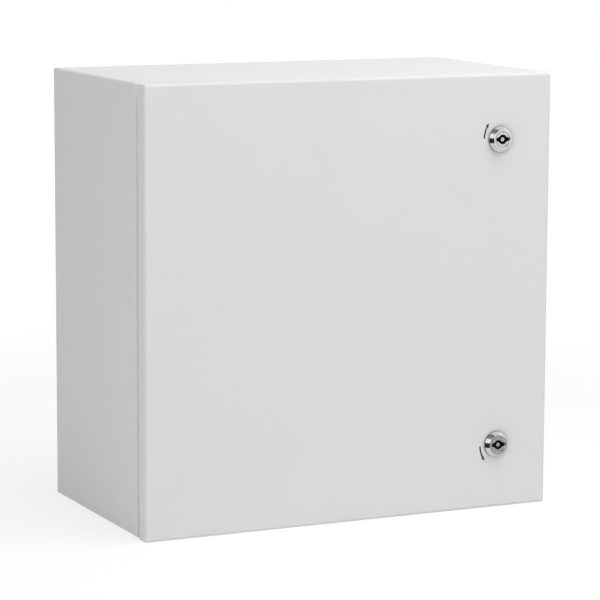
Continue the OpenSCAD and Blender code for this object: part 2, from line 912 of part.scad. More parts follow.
case_shell();
front_frame();
rear_panel();
mounting_plate();
mounting_plate_studs();
mounting_plate_washers();
mounting_plate_nuts();
gland_plate();
gland_plate_gasket();
gland_plate_studs();
gland_plate_nuts();
case_earth_stud();
case_earth_washer();
case_earth_nut();
upper_hinge_case_bracket();
upper_hinge_pin();
lower_hinge_case_bracket();
lower_hinge_pin();
door_panel();
door_gasket();
hinge_side_door_rail();
lock_side_door_rail();
upper_hinge_door_leaf();
lower_hinge_door_leaf();
door_hinge_studs();
door_hinge_nuts();
door_earth_stud();
door_earth_washer();
door_earth_nut();
upper_lock_housing();
upper_lock_seal();
upper_lock_nut();
lower_lock_housing();
lower_lock_seal();
lower_lock_nut();
upper_lock_rotor();
upper_lock_cam();
upper_cam_washer();
upper_cam_screw();
lower_lock_rotor();
lower_lock_cam();
lower_cam_washer();
lower_cam_screw();
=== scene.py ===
"""Finishes, printed marks and screw threads for a steel wall enclosure.

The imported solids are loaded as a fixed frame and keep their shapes. This script
gives every node its finish, makes what is finer than the solids (threads,
chamfered nuts, the cast lock bodies, the printed turning arrows), and sets up a
plain pale stage.
"""

import json
import math

import bpy
import numpy as np
from bpy.props import FloatProperty, FloatVectorProperty, PointerProperty
from mathutils import Matrix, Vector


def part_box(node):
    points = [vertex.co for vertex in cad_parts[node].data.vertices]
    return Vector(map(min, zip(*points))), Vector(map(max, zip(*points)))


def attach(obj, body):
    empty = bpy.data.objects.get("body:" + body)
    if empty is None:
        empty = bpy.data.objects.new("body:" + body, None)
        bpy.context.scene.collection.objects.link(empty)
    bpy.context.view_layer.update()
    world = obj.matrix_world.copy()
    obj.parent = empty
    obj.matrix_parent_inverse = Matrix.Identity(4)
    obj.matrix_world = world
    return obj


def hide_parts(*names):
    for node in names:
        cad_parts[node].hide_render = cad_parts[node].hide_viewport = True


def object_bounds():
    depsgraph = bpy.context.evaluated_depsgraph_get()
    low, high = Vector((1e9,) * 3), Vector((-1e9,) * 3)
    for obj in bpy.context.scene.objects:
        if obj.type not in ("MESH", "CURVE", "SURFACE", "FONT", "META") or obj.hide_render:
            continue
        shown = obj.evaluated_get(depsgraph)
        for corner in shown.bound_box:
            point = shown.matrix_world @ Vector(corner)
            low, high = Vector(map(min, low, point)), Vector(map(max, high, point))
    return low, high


bl_info = {
    "name": "Steel Wall Enclosure Finishes",
    "version": (1, 0, 0),
    "blender": (4, 5, 0),
    "location": "View3D > Sidebar > Enclosure",
    "description": "Dresses the solids of a steel wall enclosure and sets up its stage",
    "category": "Object",
}

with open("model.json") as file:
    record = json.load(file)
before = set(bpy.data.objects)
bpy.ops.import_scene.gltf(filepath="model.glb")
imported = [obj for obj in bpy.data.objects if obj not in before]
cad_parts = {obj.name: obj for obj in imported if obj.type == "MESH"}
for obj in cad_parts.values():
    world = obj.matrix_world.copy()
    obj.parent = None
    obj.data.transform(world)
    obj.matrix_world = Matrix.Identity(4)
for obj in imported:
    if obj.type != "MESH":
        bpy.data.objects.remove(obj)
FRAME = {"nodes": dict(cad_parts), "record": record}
NODES = FRAME["nodes"]
CAD_BOX = [list(map(float, corner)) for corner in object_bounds()]
SIDES = ("upper", "lower")
LAMP_AIM = np.array([0.0, -0.14, 0.0])


def box_of(node_name):
    """Lowest corner, highest corner and centre of a CAD node, as arrays in metres."""
    low, high = (np.array(corner, float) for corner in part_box(node_name))
    return low, high, (low + high) / 2


# ---------------------------------------------------------------- surfaces


def quads(rows, columns, wrap_rows=False, wrap_columns=True):
    """Faces of a grid of points: each point joins the next in its row and in its column."""
    r = np.arange(rows if wrap_rows else rows - 1)[:, None]
    c = np.arange(columns if wrap_columns else columns - 1)[None, :]
    r_next, c_next = (r + 1) % rows, (c + 1) % columns
    faces = np.stack(np.broadcast_arrays(r * columns + c, r * columns + c_next,
                                         r_next * columns + c_next, r_next * columns + c), -1)
    return faces.reshape(-1, 4)


def outward(points, faces):
    """Turns all faces over if the closed shell's signed volume, the sum of each
    triangle's triple product over six, comes out negative."""
    a, b, c, d = (points[faces[:, i]] for i in range(4))
    volume = np.einsum("ij,ij->", a, np.cross(b, c)) + np.einsum("ij,ij->", a, np.cross(c, d))
    return faces[:, ::-1] if volume < 0 else faces


def revolved(profile_r, profile_z, columns, shape=None):
    """Closed ring: a profile loop of radii and heights carried round the z axis.
    shape(r, z, angle) may change the radius over the whole grid at once."""
    angle = np.linspace(0, 2 * np.pi, columns, endpoint=False)[None, :]
    r = np.broadcast_to(np.asarray(profile_r, float)[:, None], (len(profile_r), columns))
    z = np.broadcast_to(np.asarray(profile_z, float)[:, None], r.shape)
    if shape is not None:
        r = shape(r, z, angle)
    points = np.stack([r * np.cos(angle), r * np.sin(angle), z], -1).reshape(-1, 3)
    return points, outward(points, quads(len(profile_r), columns, wrap_rows=True))


def solid_turned(profile_r, profile_z, columns, shape=None):
    """Closed turned solid: as revolved, with the profile's first and last points
    drawn in to a hair's breadth from the axis, so that its two ends are shut."""
    r = np.concatenate([[1e-5], profile_r, [1e-5]])
    z = np.concatenate([[profile_z[0]], profile_z, [profile_z[-1]]])
    hub = lambda rr, zz, a: rr if shape is None else np.where(rr > 2e-5, shape(rr, zz, a), rr)
    return revolved(r, z, columns, hub)


def thread_radius(r, z, angle, pitch, depth, starts_at):
    """Radius of a single-start thread: the crest radius less a rounded V whose phase
    is the height in pitches less the angle in turns."""
    phase = (z - starts_at) / pitch - angle / (2 * np.pi)
    vee = np.abs(2 * (phase - np.floor(phase)) - 1)
    return r - depth * (0.5 - 0.5 * np.cos(np.pi * vee))


def placed(points, axis, centre):
    """Turns a shape from the z axis to a unit axis and moves it to a centre.
    The other two directions are chosen square to the axis."""
    axis = np.asarray(axis, float)
    helper = np.array([1.0, 0, 0]) if abs(axis[0]) < 0.9 else np.array([0, 0, 1.0])
    side = np.cross(helper, axis)
    side /= np.linalg.norm(side)
    return points @ np.stack([np.cross(side, axis), side, axis]) + np.asarray(centre, float)


def make_piece(name, shells, body, slot=None, replaces=(), smooth_deg=35):
    """One mesh object from several closed shells, smooth except at sharp edges,
    riding on a CAD body. Each shell is an array of points and one of faces."""
    counts = np.cumsum([0] + [len(points) for points, _ in shells])
    points = np.concatenate([p for p, _ in shells])
    faces = np.concatenate([f + start for (_, f), start in zip(shells, counts)])
    mesh = bpy.data.meshes.new(name)
    mesh.from_pydata(points, [], faces)
    mesh.validate()
    mesh.shade_smooth()
    mesh.set_sharp_from_angle(angle=math.radians(smooth_deg))
    piece = bpy.data.objects.new(name, mesh)
    bpy.context.scene.collection.objects.link(piece)
    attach(piece, body)
    if replaces:
        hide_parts(*replaces)
    return piece


def threaded_stud(length, diameter, pitch, thread_from, turned=((0, 0),)):
    """Weld stud on the z axis: turned collars first, given as (radius, height) pairs,
    then a thread whose radius is cut back at the tip by a 45 degree cone."""
    rows = max(8, int((length - thread_from) / pitch * 8))
    z = np.linspace(thread_from, length, rows)
    depth, crest = 0.54 * pitch, diameter / 2

    def shape(r, height, angle):
        cut = thread_radius(r, height, angle, pitch, depth, thread_from)
        cut = np.minimum(cut, crest - depth * 1.1 + (length - height))
        return np.where((height >= thread_from) & (r <= crest + 1e-6), cut, r)

    radii = [r for r, _ in turned if r > 0] + [crest] * rows
    heights = [h for r, h in turned if r > 0] + list(z)
    return solid_turned(radii, heights, 32, shape)


def hexagon_nut(across_flats, thickness, bore, corner_at=0.0):
    """Hexagon nut on the z axis, with a corner at a given angle from the x axis: a
    six-sided polar outline, half the width across flats over the cosine of the angle
    from the nearest flat, held inside a 30 degree cone at its ends, round a bore."""
    half = across_flats / 2
    rim = (2 / math.sqrt(3) - 0.95) * half * math.tan(math.radians(30))
    edge = np.linspace(0, 1, 6)
    z = np.concatenate([edge * rim, thickness - rim * edge[::-1]])

    def shape(r, height, angle):
        from_flat = (angle - corner_at) % (np.pi / 3) - np.pi / 6
        cone = 0.95 * half + np.minimum(height, thickness - height) / math.tan(math.radians(30))
        return np.where(r > bore + 1e-6, np.minimum(half / np.cos(from_flat), cone), r)

    return revolved([half] * len(z) + [bore, bore], [*z, thickness, 0.0], 72, shape)


def flat_ring(outer, inner, thickness, edge=0.0):
    """Washer on the z axis: a rectangle carried round, its outer corners broken by edge."""
    r = [inner, outer - edge, outer, outer, outer - edge, inner]
    z = [0, 0, edge, thickness - edge, thickness, thickness]
    return revolved(r, z, 64)


def set_at(shell, axis, centre):
    """A shell turned and moved to its place."""
    points, faces = shell
    points = placed(points, axis, centre)
    return points, outward(points, faces)


# ---------------------------------------------------------------- shader tools


def put(tree, kind, inputs=None, **settings):
    """Adds a node, with its settings, and its inputs as values or links."""
    made = tree.nodes.new(kind)
    for name, value in settings.items():
        setattr(made, name, value)
    for name, value in (inputs or {}).items():
        if isinstance(value, bpy.types.NodeSocket):
            tree.links.new(value, made.inputs[name])
        else:
            made.inputs[name].default_value = value
    return made


def maths(tree, operation, *values, clamp=False):
    """A Math node of up to three values; returns its output."""
    return put(tree, "ShaderNodeMath", dict(enumerate(values)),
               operation=operation, use_clamp=clamp).outputs[0]


def mixed(tree, factor, first, second, blend="MIX"):
    """A colour mix; returns its output."""
    return put(tree, "ShaderNodeMix", {0: factor, 6: first, 7: second},
               data_type="RGBA", blend_type=blend).outputs[2]


def spread(tree, value, from_low, from_high, to_low, to_high):
    """A clamped change of range; returns its output."""
    return put(tree, "ShaderNodeMapRange", {0: value, 1: from_low, 2: from_high,
                                            3: to_low, 4: to_high}).outputs[0]


def new_group(name, inputs, outputs):
    """A shader node group with named sockets, each given as (name, kind, default)."""
    group = bpy.data.node_groups.new(name, "ShaderNodeTree")
    for socket_name, kind, default in inputs:
        socket = group.interface.new_socket(socket_name, in_out="INPUT", socket_type=kind)
        if default is not None:
            socket.default_value = default
    for socket_name, kind in outputs:
        group.interface.new_socket(socket_name, in_out="OUTPUT", socket_type=kind)
    return group, put(group, "NodeGroupInput"), put(group, "NodeGroupOutput")


def build_mottle_group():
    """Cloudy change of shade: a noise at one size moves the colour towards a
    darker and a lighter share of itself."""
    group, source, result = new_group(
        "Mottle",
        [("Vector", "NodeSocketVector", None), ("Color", "NodeSocketColor", (0.5, 0.5, 0.5, 1)),
         ("Patches per Metre", "NodeSocketFloat", 20.0), ("Amount", "NodeSocketFloat", 0.05)],
        [("Color", "NodeSocketColor"), ("Mask", "NodeSocketFloat")])
    noise = put(group, "ShaderNodeTexNoise",
                {"Vector": source.outputs["Vector"], "Scale": source.outputs["Patches per Metre"],
                 "Detail": 4.0, "Roughness": 0.55})
    mask = spread(group, noise.outputs["Fac"], 0.3, 0.7, 0.0, 1.0)
    low = maths(group, "SUBTRACT", 1.0, source.outputs["Amount"])
    high = maths(group, "ADD", 1.0, source.outputs["Amount"])
    gain = put(group, "ShaderNodeMapRange", {0: mask, 3: low, 4: high}).outputs[0]
    scaled = put(group, "ShaderNodeVectorMath", {0: source.outputs["Color"], "Scale": gain},
                 operation="SCALE").outputs[0]
    group.links.new(scaled, result.inputs["Color"])
    group.links.new(mask, result.inputs["Mask"])
    return group


def build_orange_peel_group():
    """Powder coat skin: broad low waves with a finer one on top, as a height in
    shares of one, and the same waves as a mask for the gloss."""
    group, source, result = new_group(
        "Orange Peel",
        [("Vector", "NodeSocketVector", None), ("Waves per Metre", "NodeSocketFloat", 260.0)],
        [("Height", "NodeSocketFloat"), ("Mask", "NodeSocketFloat")])
    broad = put(group, "ShaderNodeTexNoise",
                {"Vector": source.outputs["Vector"], "Scale": source.outputs["Waves per Metre"],
                 "Detail": 1.0, "Roughness": 0.4})
    finer = maths(group, "MULTIPLY", source.outputs["Waves per Metre"], 3.1)
    fine = put(group, "ShaderNodeTexNoise",
               {"Vector": source.outputs["Vector"], "Scale": finer, "Detail": 2.0})
    both = maths(group, "MULTIPLY_ADD", fine.outputs["Fac"], 0.25, broad.outputs["Fac"])
    group.links.new(both, result.inputs["Height"])
    group.links.new(spread(group, broad.outputs["Fac"], 0.35, 0.65, 0.0, 1.0), result.inputs["Mask"])
    return group


def build_handling_marks_group():
    """Fine scratches and rolling lines: noise stretched along one axis, once
    straight and once askew, as a mask that is mostly low."""
    group, source, result = new_group(
        "Handling Marks",
        [("Vector", "NodeSocketVector", None), ("Lines per Metre", "NodeSocketFloat", 900.0),
         ("Stretch", "NodeSocketFloat", 0.03)],
        [("Mask", "NodeSocketFloat"), ("Height", "NodeSocketFloat")])
    masks = []
    for turn in (0.0, 0.6):
        turned = put(group, "ShaderNodeMapping",
                     {"Vector": source.outputs["Vector"], "Rotation": (turn, turn * 0.7, turn)})
        parts = put(group, "ShaderNodeSeparateXYZ", {0: turned.outputs[0]})
        along = maths(group, "MULTIPLY", parts.outputs["Z"], source.outputs["Stretch"])
        vector = put(group, "ShaderNodeCombineXYZ",
                     {"X": parts.outputs["X"], "Y": parts.outputs["Y"], "Z": along})
        noise = put(group, "ShaderNodeTexNoise",
                    {"Vector": vector.outputs[0], "Scale": source.outputs["Lines per Metre"],
                     "Detail": 3.0, "Roughness": 0.6})
        masks.append(noise.outputs["Fac"])
    both = maths(group, "MULTIPLY", *masks)
    group.links.new(spread(group, both, 0.2, 0.42, 0.0, 1.0), result.inputs["Mask"])
    group.links.new(both, result.inputs["Height"])
    return group


def build_spangle_group():
    """Zinc crystals of hot-dip galvanised sheet: each cell of a warped cell pattern
    has its own shade, with a faint line where two cells meet."""
    group, source, result = new_group(
        "Zinc Spangle",
        [("Vector", "NodeSocketVector", None), ("Crystals per Metre", "NodeSocketFloat", 90.0)],
        [("Shade", "NodeSocketFloat"), ("Border", "NodeSocketFloat")])
    warp = put(group, "ShaderNodeTexNoise",
               {"Vector": source.outputs["Vector"], "Scale": 160.0, "Detail": 2.0})
    offset = put(group, "ShaderNodeVectorMath", {0: warp.outputs["Color"], "Scale": 0.006},
                 operation="SCALE")
    warped = put(group, "ShaderNodeVectorMath", {0: source.outputs["Vector"], 1: offset.outputs[0]},
                 operation="ADD")
    cells = put(group, "ShaderNodeTexVoronoi",
                {"Vector": warped.outputs[0], "Scale": source.outputs["Crystals per Metre"]})
    border = put(group, "ShaderNodeTexVoronoi",
                 {"Vector": warped.outputs[0], "Scale": source.outputs["Crystals per Metre"]},
                 feature="DISTANCE_TO_EDGE")
    shade = put(group, "ShaderNodeSeparateColor", {0: cells.outputs["Color"]}).outputs[0]
    group.links.new(shade, result.inputs["Shade"])
    group.links.new(spread(group, border.outputs["Distance"], 0.0, 0.06, 1.0, 0.0),
                    result.inputs["Border"])
    return group


def build_lock_distance_group():
    """How far a point is from the nearer lock's axis, in metres, and how far behind
    the lock's face. Both locks stand at one X, so Z is taken without its sign."""
    group, source, result = new_group("Lock Distance", [("Vector", "NodeSocketVector", None)],
                                      [("Radius", "NodeSocketFloat"), ("Depth", "NodeSocketFloat")])
    low, high, centre = box_of("upper_lock_rotor")
    parts = put(group, "ShaderNodeSeparateXYZ", {0: source.outputs["Vector"]})
    across = maths(group, "SUBTRACT", parts.outputs["X"], centre[0])
    up = maths(group, "SUBTRACT", maths(group, "ABSOLUTE", parts.outputs["Z"]), centre[2])
    flat = put(group, "ShaderNodeCombineXYZ", {"X": across, "Y": up})
    radius = put(group, "ShaderNodeVectorMath", {0: flat.outputs[0]}, operation="LENGTH").outputs[1]
    group.links.new(radius, result.inputs["Radius"])
    depth = maths(group, "SUBTRACT", parts.outputs["Y"], low[1])
    group.links.new(depth, result.inputs["Depth"])
    return group


def new_material(name):
    """An empty material with its Principled BSDF, output and Object coordinates."""
    material = bpy.data.materials.new(name)
    material.use_nodes = True
    tree = material.node_tree
    tree.nodes.clear()
    surface = put(tree, "ShaderNodeBsdfPrincipled")
    output = put(tree, "ShaderNodeOutputMaterial")
    tree.links.new(surface.outputs[0], output.inputs["Surface"])
    place = put(tree, "ShaderNodeTexCoord").outputs["Object"]
    return material, tree, surface, place


def place_group(tree, name, inputs):
    """Places one of the shared groups in a material with its own values."""
    made = put(tree, "ShaderNodeGroup", node_tree=bpy.data.node_groups[name])
    for socket_name, value in inputs.items():
        if isinstance(value, bpy.types.NodeSocket):
            tree.links.new(value, made.inputs[socket_name])
        else:
            made.inputs[socket_name].default_value = value
    return made


def add_bump(tree, surface, height, distance, strength=1.0):
    """Feeds a height, in metres times its own range, to the surface's normal."""
    bump = put(tree, "ShaderNodeBump", {"Height": height, "Distance": distance, "Strength": strength})
    tree.links.new(bump.outputs[0], surface.inputs["Normal"])


def rgba(colour):
    """A colour property with its alpha."""
    return (*colour[:], 1.0)


def powder_coat(settings):
    """Satin polyester powder coat with orange peel."""
    material, tree, surface, place = new_material("powder_coat")
    mottle = place_group(tree, "Mottle", {"Vector": place, "Color": rgba(settings.colour),
                                          "Patches per Metre": 9.0, "Amount": 0.008})
    peel = place_group(tree, "Orange Peel",
                       {"Vector": place, "Waves per Metre": 1 / settings.peel_size})
    tree.links.new(mottle.outputs["Color"], surface.inputs["Base Color"])
    gloss = spread(tree, peel.outputs["Mask"], 0.0, 1.0,
                   settings.roughness - 0.03, settings.roughness + 0.03)
    tree.links.new(gloss, surface.inputs["Roughness"])
    add_bump(tree, surface, peel.outputs["Height"], settings.peel_depth)
    return material


def galvanised_sheet(settings):
    """Hot-dip galvanised sheet with soft spangle and rolling lines."""
    material, tree, surface, place = new_material("galvanised_sheet")
    spangle = place_group(tree, "Zinc Spangle", {"Vector": place,
                                                 "Crystals per Metre": 1 / settings.spangle_size})
    marks = place_group(tree, "Handling Marks", {"Vector": place, "Lines per Metre": 700.0})
    low = tuple(0.88 * c for c in settings.galvanised_colour[:]) + (1.0,)
    high = tuple(min(1.0, 1.07 * c) for c in settings.galvanised_colour[:]) + (1.0,)
    colour = mixed(tree, spangle.outputs["Shade"], low, high)
    colour = mixed(tree, maths(tree, "MULTIPLY", spangle.outputs["Border"], 0.15), colour,
                   (0.36, 0.38, 0.40, 1.0))
    tree.links.new(colour, surface.inputs["Base Color"])
    surface.inputs["Metallic"].default_value = 0.85
    rough = spread(tree, spangle.outputs["Shade"], 0.0, 1.0, 0.40, 0.54)
    rough = maths(tree, "MULTIPLY_ADD", marks.outputs["Mask"], 0.08, rough)
    tree.links.new(rough, surface.inputs["Roughness"])
    add_bump(tree, surface, marks.outputs["Height"], 0.00003)
    return material


def zinc_plate(settings):
    """Bright zinc plate with a cold sheen and slight cloudiness."""
    material, tree, surface, place = new_material("zinc_plate")
    mottle = place_group(tree, "Mottle", {"Vector": place, "Color": rgba(settings.zinc_colour),
                                          "Patches per Metre": 130.0, "Amount": 0.06})
    marks = place_group(tree, "Handling Marks", {"Vector": place, "Lines per Metre": 1500.0,
                                                 "Stretch": 0.1})
    tint = mixed(tree, maths(tree, "MULTIPLY", mottle.outputs["Mask"], 0.18),
                 mottle.outputs["Color"], (0.70, 0.66, 0.52, 1.0))
    tree.links.new(tint, surface.inputs["Base Color"])
    surface.inputs["Metallic"].default_value = 1.0
    tree.links.new(spread(tree, marks.outputs["Mask"], 0.0, 1.0, 0.24, 0.38),
                   surface.inputs["Roughness"])
    add_bump(tree, surface, marks.outputs["Height"], 0.00002)
    return material


def stud_steel(settings):
    """Copper-flashed weld-stud steel, warmer where the flash is left."""
    material, tree, surface, place = new_material("stud_steel")
    mottle = place_group(tree, "Mottle", {"Vector": place, "Color": rgba(settings.stud_colour),
                                          "Patches per Metre": 420.0, "Amount": 0.12})
    marks = place_group(tree, "Handling Marks", {"Vector": place, "Lines per Metre": 2000.0})
    colour = mixed(tree, maths(tree, "MULTIPLY", mottle.outputs["Mask"], 0.5),
                   mottle.outputs["Color"], (0.62, 0.42, 0.32, 1.0))
    tree.links.new(colour, surface.inputs["Base Color"])
    surface.inputs["Metallic"].default_value = 1.0
    tree.links.new(spread(tree, marks.outputs["Mask"], 0.0, 1.0, 0.34, 0.50),
                   surface.inputs["Roughness"])
    add_bump(tree, surface, marks.outputs["Height"], 0.00002)
    return material


def turned_brass(settings):
    """Turned brass, dulled in patches."""
    material, tree, surface, place = new_material("turned_brass")
    mottle = place_group(tree, "Mottle", {"Vector": place, "Color": rgba(settings.brass_colour),
                                          "Patches per Metre": 300.0, "Amount": 0.10})
    marks = place_group(tree, "Handling Marks", {"Vector": place, "Lines per Metre": 2500.0})
    tree.links.new(mottle.outputs["Color"], surface.inputs["Base Color"])
    surface.inputs["Metallic"].default_value = 1.0
    tree.links.new(spread(tree, mottle.outputs["Mask"], 0.0, 1.0, 0.22, 0.40),
                   surface.inputs["Roughness"])
    add_bump(tree, surface, marks.outputs["Height"], 0.00002)
    return material


def chrome_casting(settings):
    """Polished chrome over a die casting, with hairlines, a faint waviness, and a painted dark ring
    of shade at the rim where the head meets the door."""
    material, tree, surface, place = new_material("chrome_casting")
    mottle = place_group(tree, "Mottle", {"Vector": place, "Color": rgba(settings.chrome_colour),
                                          "Patches per Metre": 200.0, "Amount": 0.02})
    marks = place_group(tree, "Handling Marks", {"Vector": place, "Lines per Metre": 3000.0,
                                                 "Stretch": 0.05})
    waves = place_group(tree, "Orange Peel", {"Vector": place, "Waves per Metre": 320.0})
    distance = place_group(tree, "Lock Distance", {"Vector": place})
    # Painted shade: a dark ring on the rim's outer edge, where the head meets the door
    rim_shade = spread(tree, distance.outputs["Radius"], 0.0148, 0.0154, 0.0, 0.75)
    colour = mixed(tree, rim_shade, mottle.outputs["Color"], (0.10, 0.10, 0.10, 1.0))
    tree.links.new(colour, surface.inputs["Base Color"])
    surface.inputs["Metallic"].default_value = 1.0
    tree.links.new(spread(tree, marks.outputs["Mask"], 0.0, 1.0,
                          settings.chrome_roughness, settings.chrome_roughness + 0.12),
                   surface.inputs["Roughness"])
    add_bump(tree, surface, waves.outputs["Height"], 0.00002)
    return material


def lock_insert(settings):
    """Chrome rotor: bright face and pin, with painted shade, near black, dull and not metallic, in
    and round the recess, in the groove round the head and in the pin's centre."""
    material, tree, surface, place = new_material("lock_insert")
    distance = place_group(tree, "Lock Distance", {"Vector": place})
    radius = distance.outputs["Radius"]
    # Painted shade: the recess, its edge, the groove round the head and the pin's centre are coloured
    # near black, dull and not metallic
    sunk = spread(tree, distance.outputs["Depth"], 0.0003, 0.0008, 0.0, 1.0)
    round_recess = spread(tree, radius, 0.0054, 0.0057, 1.0, 0.0)
    off_pin = spread(tree, radius, 0.00210, 0.00225, 0.0, 1.0)
    recess_shade = maths(tree, "MULTIPLY", maths(tree, "MAXIMUM", sunk, round_recess), off_pin)
    dimple = spread(tree, radius, 0.0006, 0.0011, 1.0, 0.0)
    recess_shade = maths(tree, "MAXIMUM", recess_shade, maths(tree, "MULTIPLY", dimple, 0.7))
    recess_shade = maths(tree, "MAXIMUM", recess_shade, spread(tree, radius, 0.0083, 0.0086, 0.0, 0.8))
    marks = place_group(tree, "Handling Marks", {"Vector": place, "Lines per Metre": 2600.0,
                                                 "Stretch": 0.2})
    mottle = place_group(tree, "Mottle", {"Vector": place, "Color": rgba(settings.chrome_colour),
                                          "Patches per Metre": 500.0, "Amount": 0.06})
    colour = mixed(tree, recess_shade, mottle.outputs["Color"], (0.008, 0.008, 0.008, 1.0))
    tree.links.new(colour, surface.inputs["Base Color"])
    tree.links.new(maths(tree, "SUBTRACT", 1.0, recess_shade), surface.inputs["Metallic"])
    rough = spread(tree, marks.outputs["Mask"], 0.0, 1.0, 0.12, 0.26)
    rough = maths(tree, "MULTIPLY_ADD", recess_shade, 0.5, rough)
    tree.links.new(rough, surface.inputs["Roughness"])
    add_bump(tree, surface, marks.outputs["Height"], 0.00002)
    return material


def foam_strip(settings):
    """Foamed polyurethane with a pored skin."""
    material, tree, surface, place = new_material("foam_strip")
    mottle = place_group(tree, "Mottle", {"Vector": place, "Color": rgba(settings.foam_colour),
                                          "Patches per Metre": 160.0, "Amount": 0.15})
    pores = put(tree, "ShaderNodeTexVoronoi", {"Vector": place, "Scale": 900.0})
    pore = spread(tree, pores.outputs["Distance"], 0.05, 0.35, 0.0, 1.0)
    colour = mixed(tree, maths(tree, "SUBTRACT", 1.0, pore), mottle.outputs["Color"],
                   (0.015, 0.015, 0.016, 1.0))
    tree.links.new(colour, surface.inputs["Base Color"])
    tree.links.new(spread(tree, pore, 0.0, 1.0, 0.95, 0.78), surface.inputs["Roughness"])
    add_bump(tree, surface, pore, 0.0002)
    return material


def moulded_rubber(settings):
    """Moulded black rubber with a dry bloom."""
    material, tree, surface, place = new_material("moulded_rubber")
    mottle = place_group(tree, "Mottle", {"Vector": place, "Color": rgba(settings.rubber_colour),
                                          "Patches per Metre": 240.0, "Amount": 0.2})
    peel = place_group(tree, "Orange Peel", {"Vector": place, "Waves per Metre": 1400.0})
    tree.links.new(mottle.outputs["Color"], surface.inputs["Base Color"])
    tree.links.new(spread(tree, mottle.outputs["Mask"], 0.0, 1.0, 0.6, 0.72),
                   surface.inputs["Roughness"])
    add_bump(tree, surface, peel.outputs["Height"], 0.00005)
    return material


def printed_ink(settings):
    """Pad-printed black ink, a little thin in places."""
    material, tree, surface, place = new_material("printed_ink")
    mottle = place_group(tree, "Mottle", {"Vector": place, "Color": rgba(settings.ink_colour),
                                          "Patches per Metre": 900.0, "Amount": 0.25})
    peel = place_group(tree, "Orange Peel", {"Vector": place, "Waves per Metre": 900.0})
    tree.links.new(mottle.outputs["Color"], surface.inputs["Base Color"])
    tree.links.new(spread(tree, peel.outputs["Mask"], 0.0, 1.0, 0.42, 0.55),
                   surface.inputs["Roughness"])
    add_bump(tree, surface, peel.outputs["Height"], 0.00001)
    return material


def dress(node_name, material):
    """Gives a CAD node its finish."""
    NODES[node_name].material_slots[0].material = material


def nodes_of(slot_name):
    """The CAD nodes whose record names this material slot."""
    return [part["node"] for part in FRAME["record"]["subparts"]
            if part["material_slot"] == slot_name]


# ---------------------------------------------------------------- settings


class PaintSettings(bpy.types.PropertyGroup):
    colour: FloatVectorProperty(name="Colour", description="Colour of the powder coat",
                                subtype="COLOR", default=(0.690, 0.684, 0.690), min=0, max=1)
    roughness: FloatProperty(name="Roughness", description="Roughness of the powder coat",
                             default=0.42, min=0.1, max=0.9)
    peel_size: FloatProperty(name="Peel Size", description="Length of one orange-peel wave",
                             default=0.0038, min=0.001, max=0.01, unit="LENGTH", precision=4)
    peel_depth: FloatProperty(name="Peel Depth", description="Height of the orange-peel waves",
                              default=0.00005, min=0, max=0.0005, unit="LENGTH", precision=6)


class MetalSettings(bpy.types.PropertyGroup):
    galvanised_colour: FloatVectorProperty(
        name="Galvanised Sheet", description="Colour of the mounting plate and the door rails",
        subtype="COLOR", default=(0.62, 0.64, 0.66), min=0, max=1)
    spangle_size: FloatProperty(name="Spangle Size", description="Width of one zinc crystal",
                                default=0.008, min=0.003, max=0.03, unit="LENGTH")
    zinc_colour: FloatVectorProperty(name="Zinc Plate", description="Colour of nuts, cams and hinges",
                                     subtype="COLOR", default=(0.66, 0.68, 0.71), min=0, max=1)
    stud_colour: FloatVectorProperty(name="Stud Steel", description="Colour of the weld studs",
                                     subtype="COLOR", default=(0.50, 0.49, 0.48), min=0, max=1)
    brass_colour: FloatVectorProperty(name="Brass", description="Colour of the earth studs",
                                      subtype="COLOR", default=(0.78, 0.60, 0.28), min=0, max=1)
    chrome_colour: FloatVectorProperty(name="Chrome", description="Colour of the lock heads",
                                       subtype="COLOR", default=(0.80, 0.785, 0.765), min=0, max=1)
    chrome_roughness: FloatProperty(name="Chrome Roughness", description="Roughness of clean chrome",
                                    default=0.07, min=0.02, max=0.5)


class SealSettings(bpy.types.PropertyGroup):
    foam_colour: FloatVectorProperty(name="Foam", description="Colour of the foamed seals",
                                     subtype="COLOR", default=(0.045, 0.045, 0.05), min=0, max=1)
    rubber_colour: FloatVectorProperty(name="Rubber", description="Colour of the lock seals",
                                       subtype="COLOR", default=(0.02, 0.02, 0.022), min=0, max=1)


class ArrowSettings(bpy.types.PropertyGroup):
    ink_colour: FloatVectorProperty(name="Ink", description="Colour of the turning arrows",
                                    subtype="COLOR", default=(0.006, 0.006, 0.007), min=0, max=1)
    tail_radius: FloatProperty(name="Tail Radius", description="Distance from the lock to the tail",
                               default=0.0206, min=0.018, max=0.03, unit="LENGTH", precision=4)
    point_radius: FloatProperty(name="Point Radius",
                                description="Distance from the lock to the arrow's point",
                                default=0.0234, min=0.018, max=0.03, unit="LENGTH", precision=4)
    upper_start: FloatProperty(name="Upper Start", description="Angle of the upper tail above level",
                               default=math.radians(3), min=-0.5, max=0.5, subtype="ANGLE")
    lower_start: FloatProperty(name="Lower Start", description="Angle of the lower tail below level",
                               default=math.radians(4), min=-0.5, max=0.5, subtype="ANGLE")
    sweep: FloatProperty(name="Sweep", description="Angle that the arrow covers, head included",
                         default=math.radians(48), min=0.2, max=1.5, subtype="ANGLE")
    width: FloatProperty(name="Line Width", description="Width of the arrow's line",
                         default=0.0019, min=0.0005, max=0.003, unit="LENGTH", precision=4)
    head_length: FloatProperty(name="Head Length", description="Length of the arrow's head",
                               default=0.0044, min=0.002, max=0.008, unit="LENGTH", precision=4)
    head_width: FloatProperty(name="Head Width", description="Width of the arrow's head",
                              default=0.0042, min=0.002, max=0.008, unit="LENGTH", precision=4)
    thickness: FloatProperty(name="Ink Thickness", description="Thickness of the ink on the door",
                             default=0.00006, min=0.00002, max=0.0003, unit="LENGTH", precision=6)


